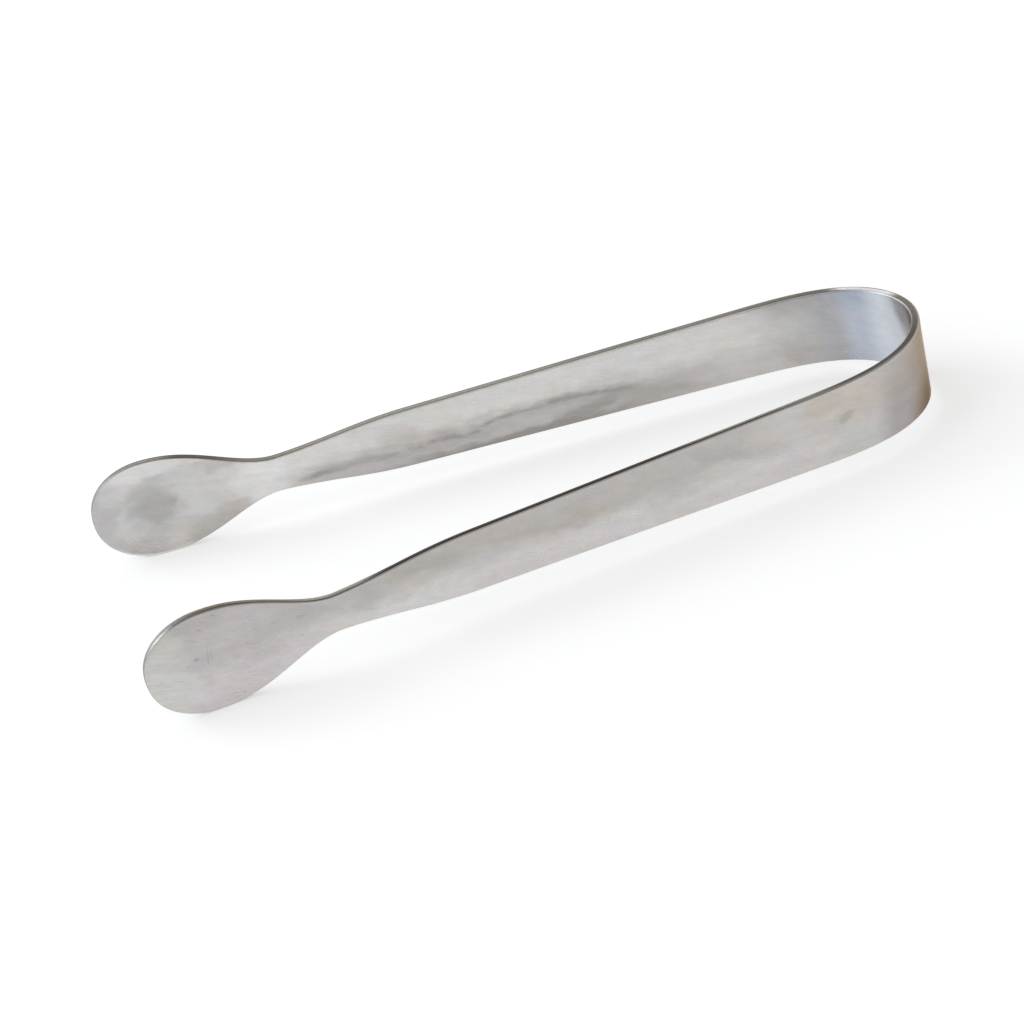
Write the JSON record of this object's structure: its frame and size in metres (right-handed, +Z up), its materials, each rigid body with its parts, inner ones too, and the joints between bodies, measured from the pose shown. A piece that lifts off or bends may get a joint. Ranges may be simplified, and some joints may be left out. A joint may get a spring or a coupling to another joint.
{
  "type": "charcoal tongs",
  "caption": "Sprung charcoal tongs bent from stainless strip: rounded bow, tapering flat arms, narrow necks and shallow dished bowls.",
  "frame": {"origin": "middle of the tongs' outline seen from above, at the height of the bowls' lower rims, on the surface they lie on", "axes": "+X from the bowls to the bow, +Y from the front arm to the rear arm, +Z up across the strip's width"},
  "size_m": [0.12, 0.0478, 0.0156],
  "materials": {
    "crown_steel": "satin stainless, smooth, with soft cool reflections",
    "shoulder_steel": "satin stainless, smooth",
    "arm_steel": "satin stainless, soft handling streaks and faint scuffs",
    "bowl_steel": "satin stainless, fine brushing and small pits"
  },
  "bodies": {
    "crown": {"bow_crown": "crown_steel"},
    "shoulder_front": {"bow_shoulder_front": "shoulder_steel"},
    "shoulder_rear": {"bow_shoulder_rear": "shoulder_steel"},
    "grip_front": {"arm_front": "arm_steel", "neck_front": "arm_steel", "bowl_front": "bowl_steel"},
    "grip_rear": {"arm_rear": "arm_steel", "neck_rear": "arm_steel", "bowl_rear": "bowl_steel"}
  },
  "joints": [
    {"name": "front_crown_flex", "type": "hinge", "parent": "crown", "child": "shoulder_front", "pos_m": [0.05618, -0.00817, 0.0078], "axis": [0, 0, -1], "range_deg": [0, 5.2], "stiffness_Nm_per_rad": 17},
    {"name": "front_arm_flex", "type": "hinge", "parent": "shoulder_front", "child": "grip_front", "pos_m": [0.03416, -0.01477, 0.0078], "axis": [0, 0, -1], "range_deg": [0, 6.77], "stiffness_Nm_per_rad": 7.2},
    {"name": "rear_crown_flex", "type": "hinge", "parent": "crown", "child": "shoulder_rear", "pos_m": [0.05618, 0.00817, 0.0078], "axis": [0, 0, 1], "range_deg": [0, 5.21], "stiffness_Nm_per_rad": 17},
    {"name": "rear_arm_flex", "type": "hinge", "parent": "shoulder_rear", "child": "grip_rear", "pos_m": [0.03416, 0.01477, 0.0078], "axis": [0, 0, 1], "range_deg": [0, 6.77], "stiffness_Nm_per_rad": 7.2}
  ],
  "couplings": [
    {"joint": "front_arm_flex", "follows": "front_crown_flex", "ratio": 1.3},
    {"joint": "rear_crown_flex", "follows": "front_crown_flex", "ratio": 1},
    {"joint": "rear_arm_flex", "follows": "front_crown_flex", "ratio": 1.3}
  ]
}
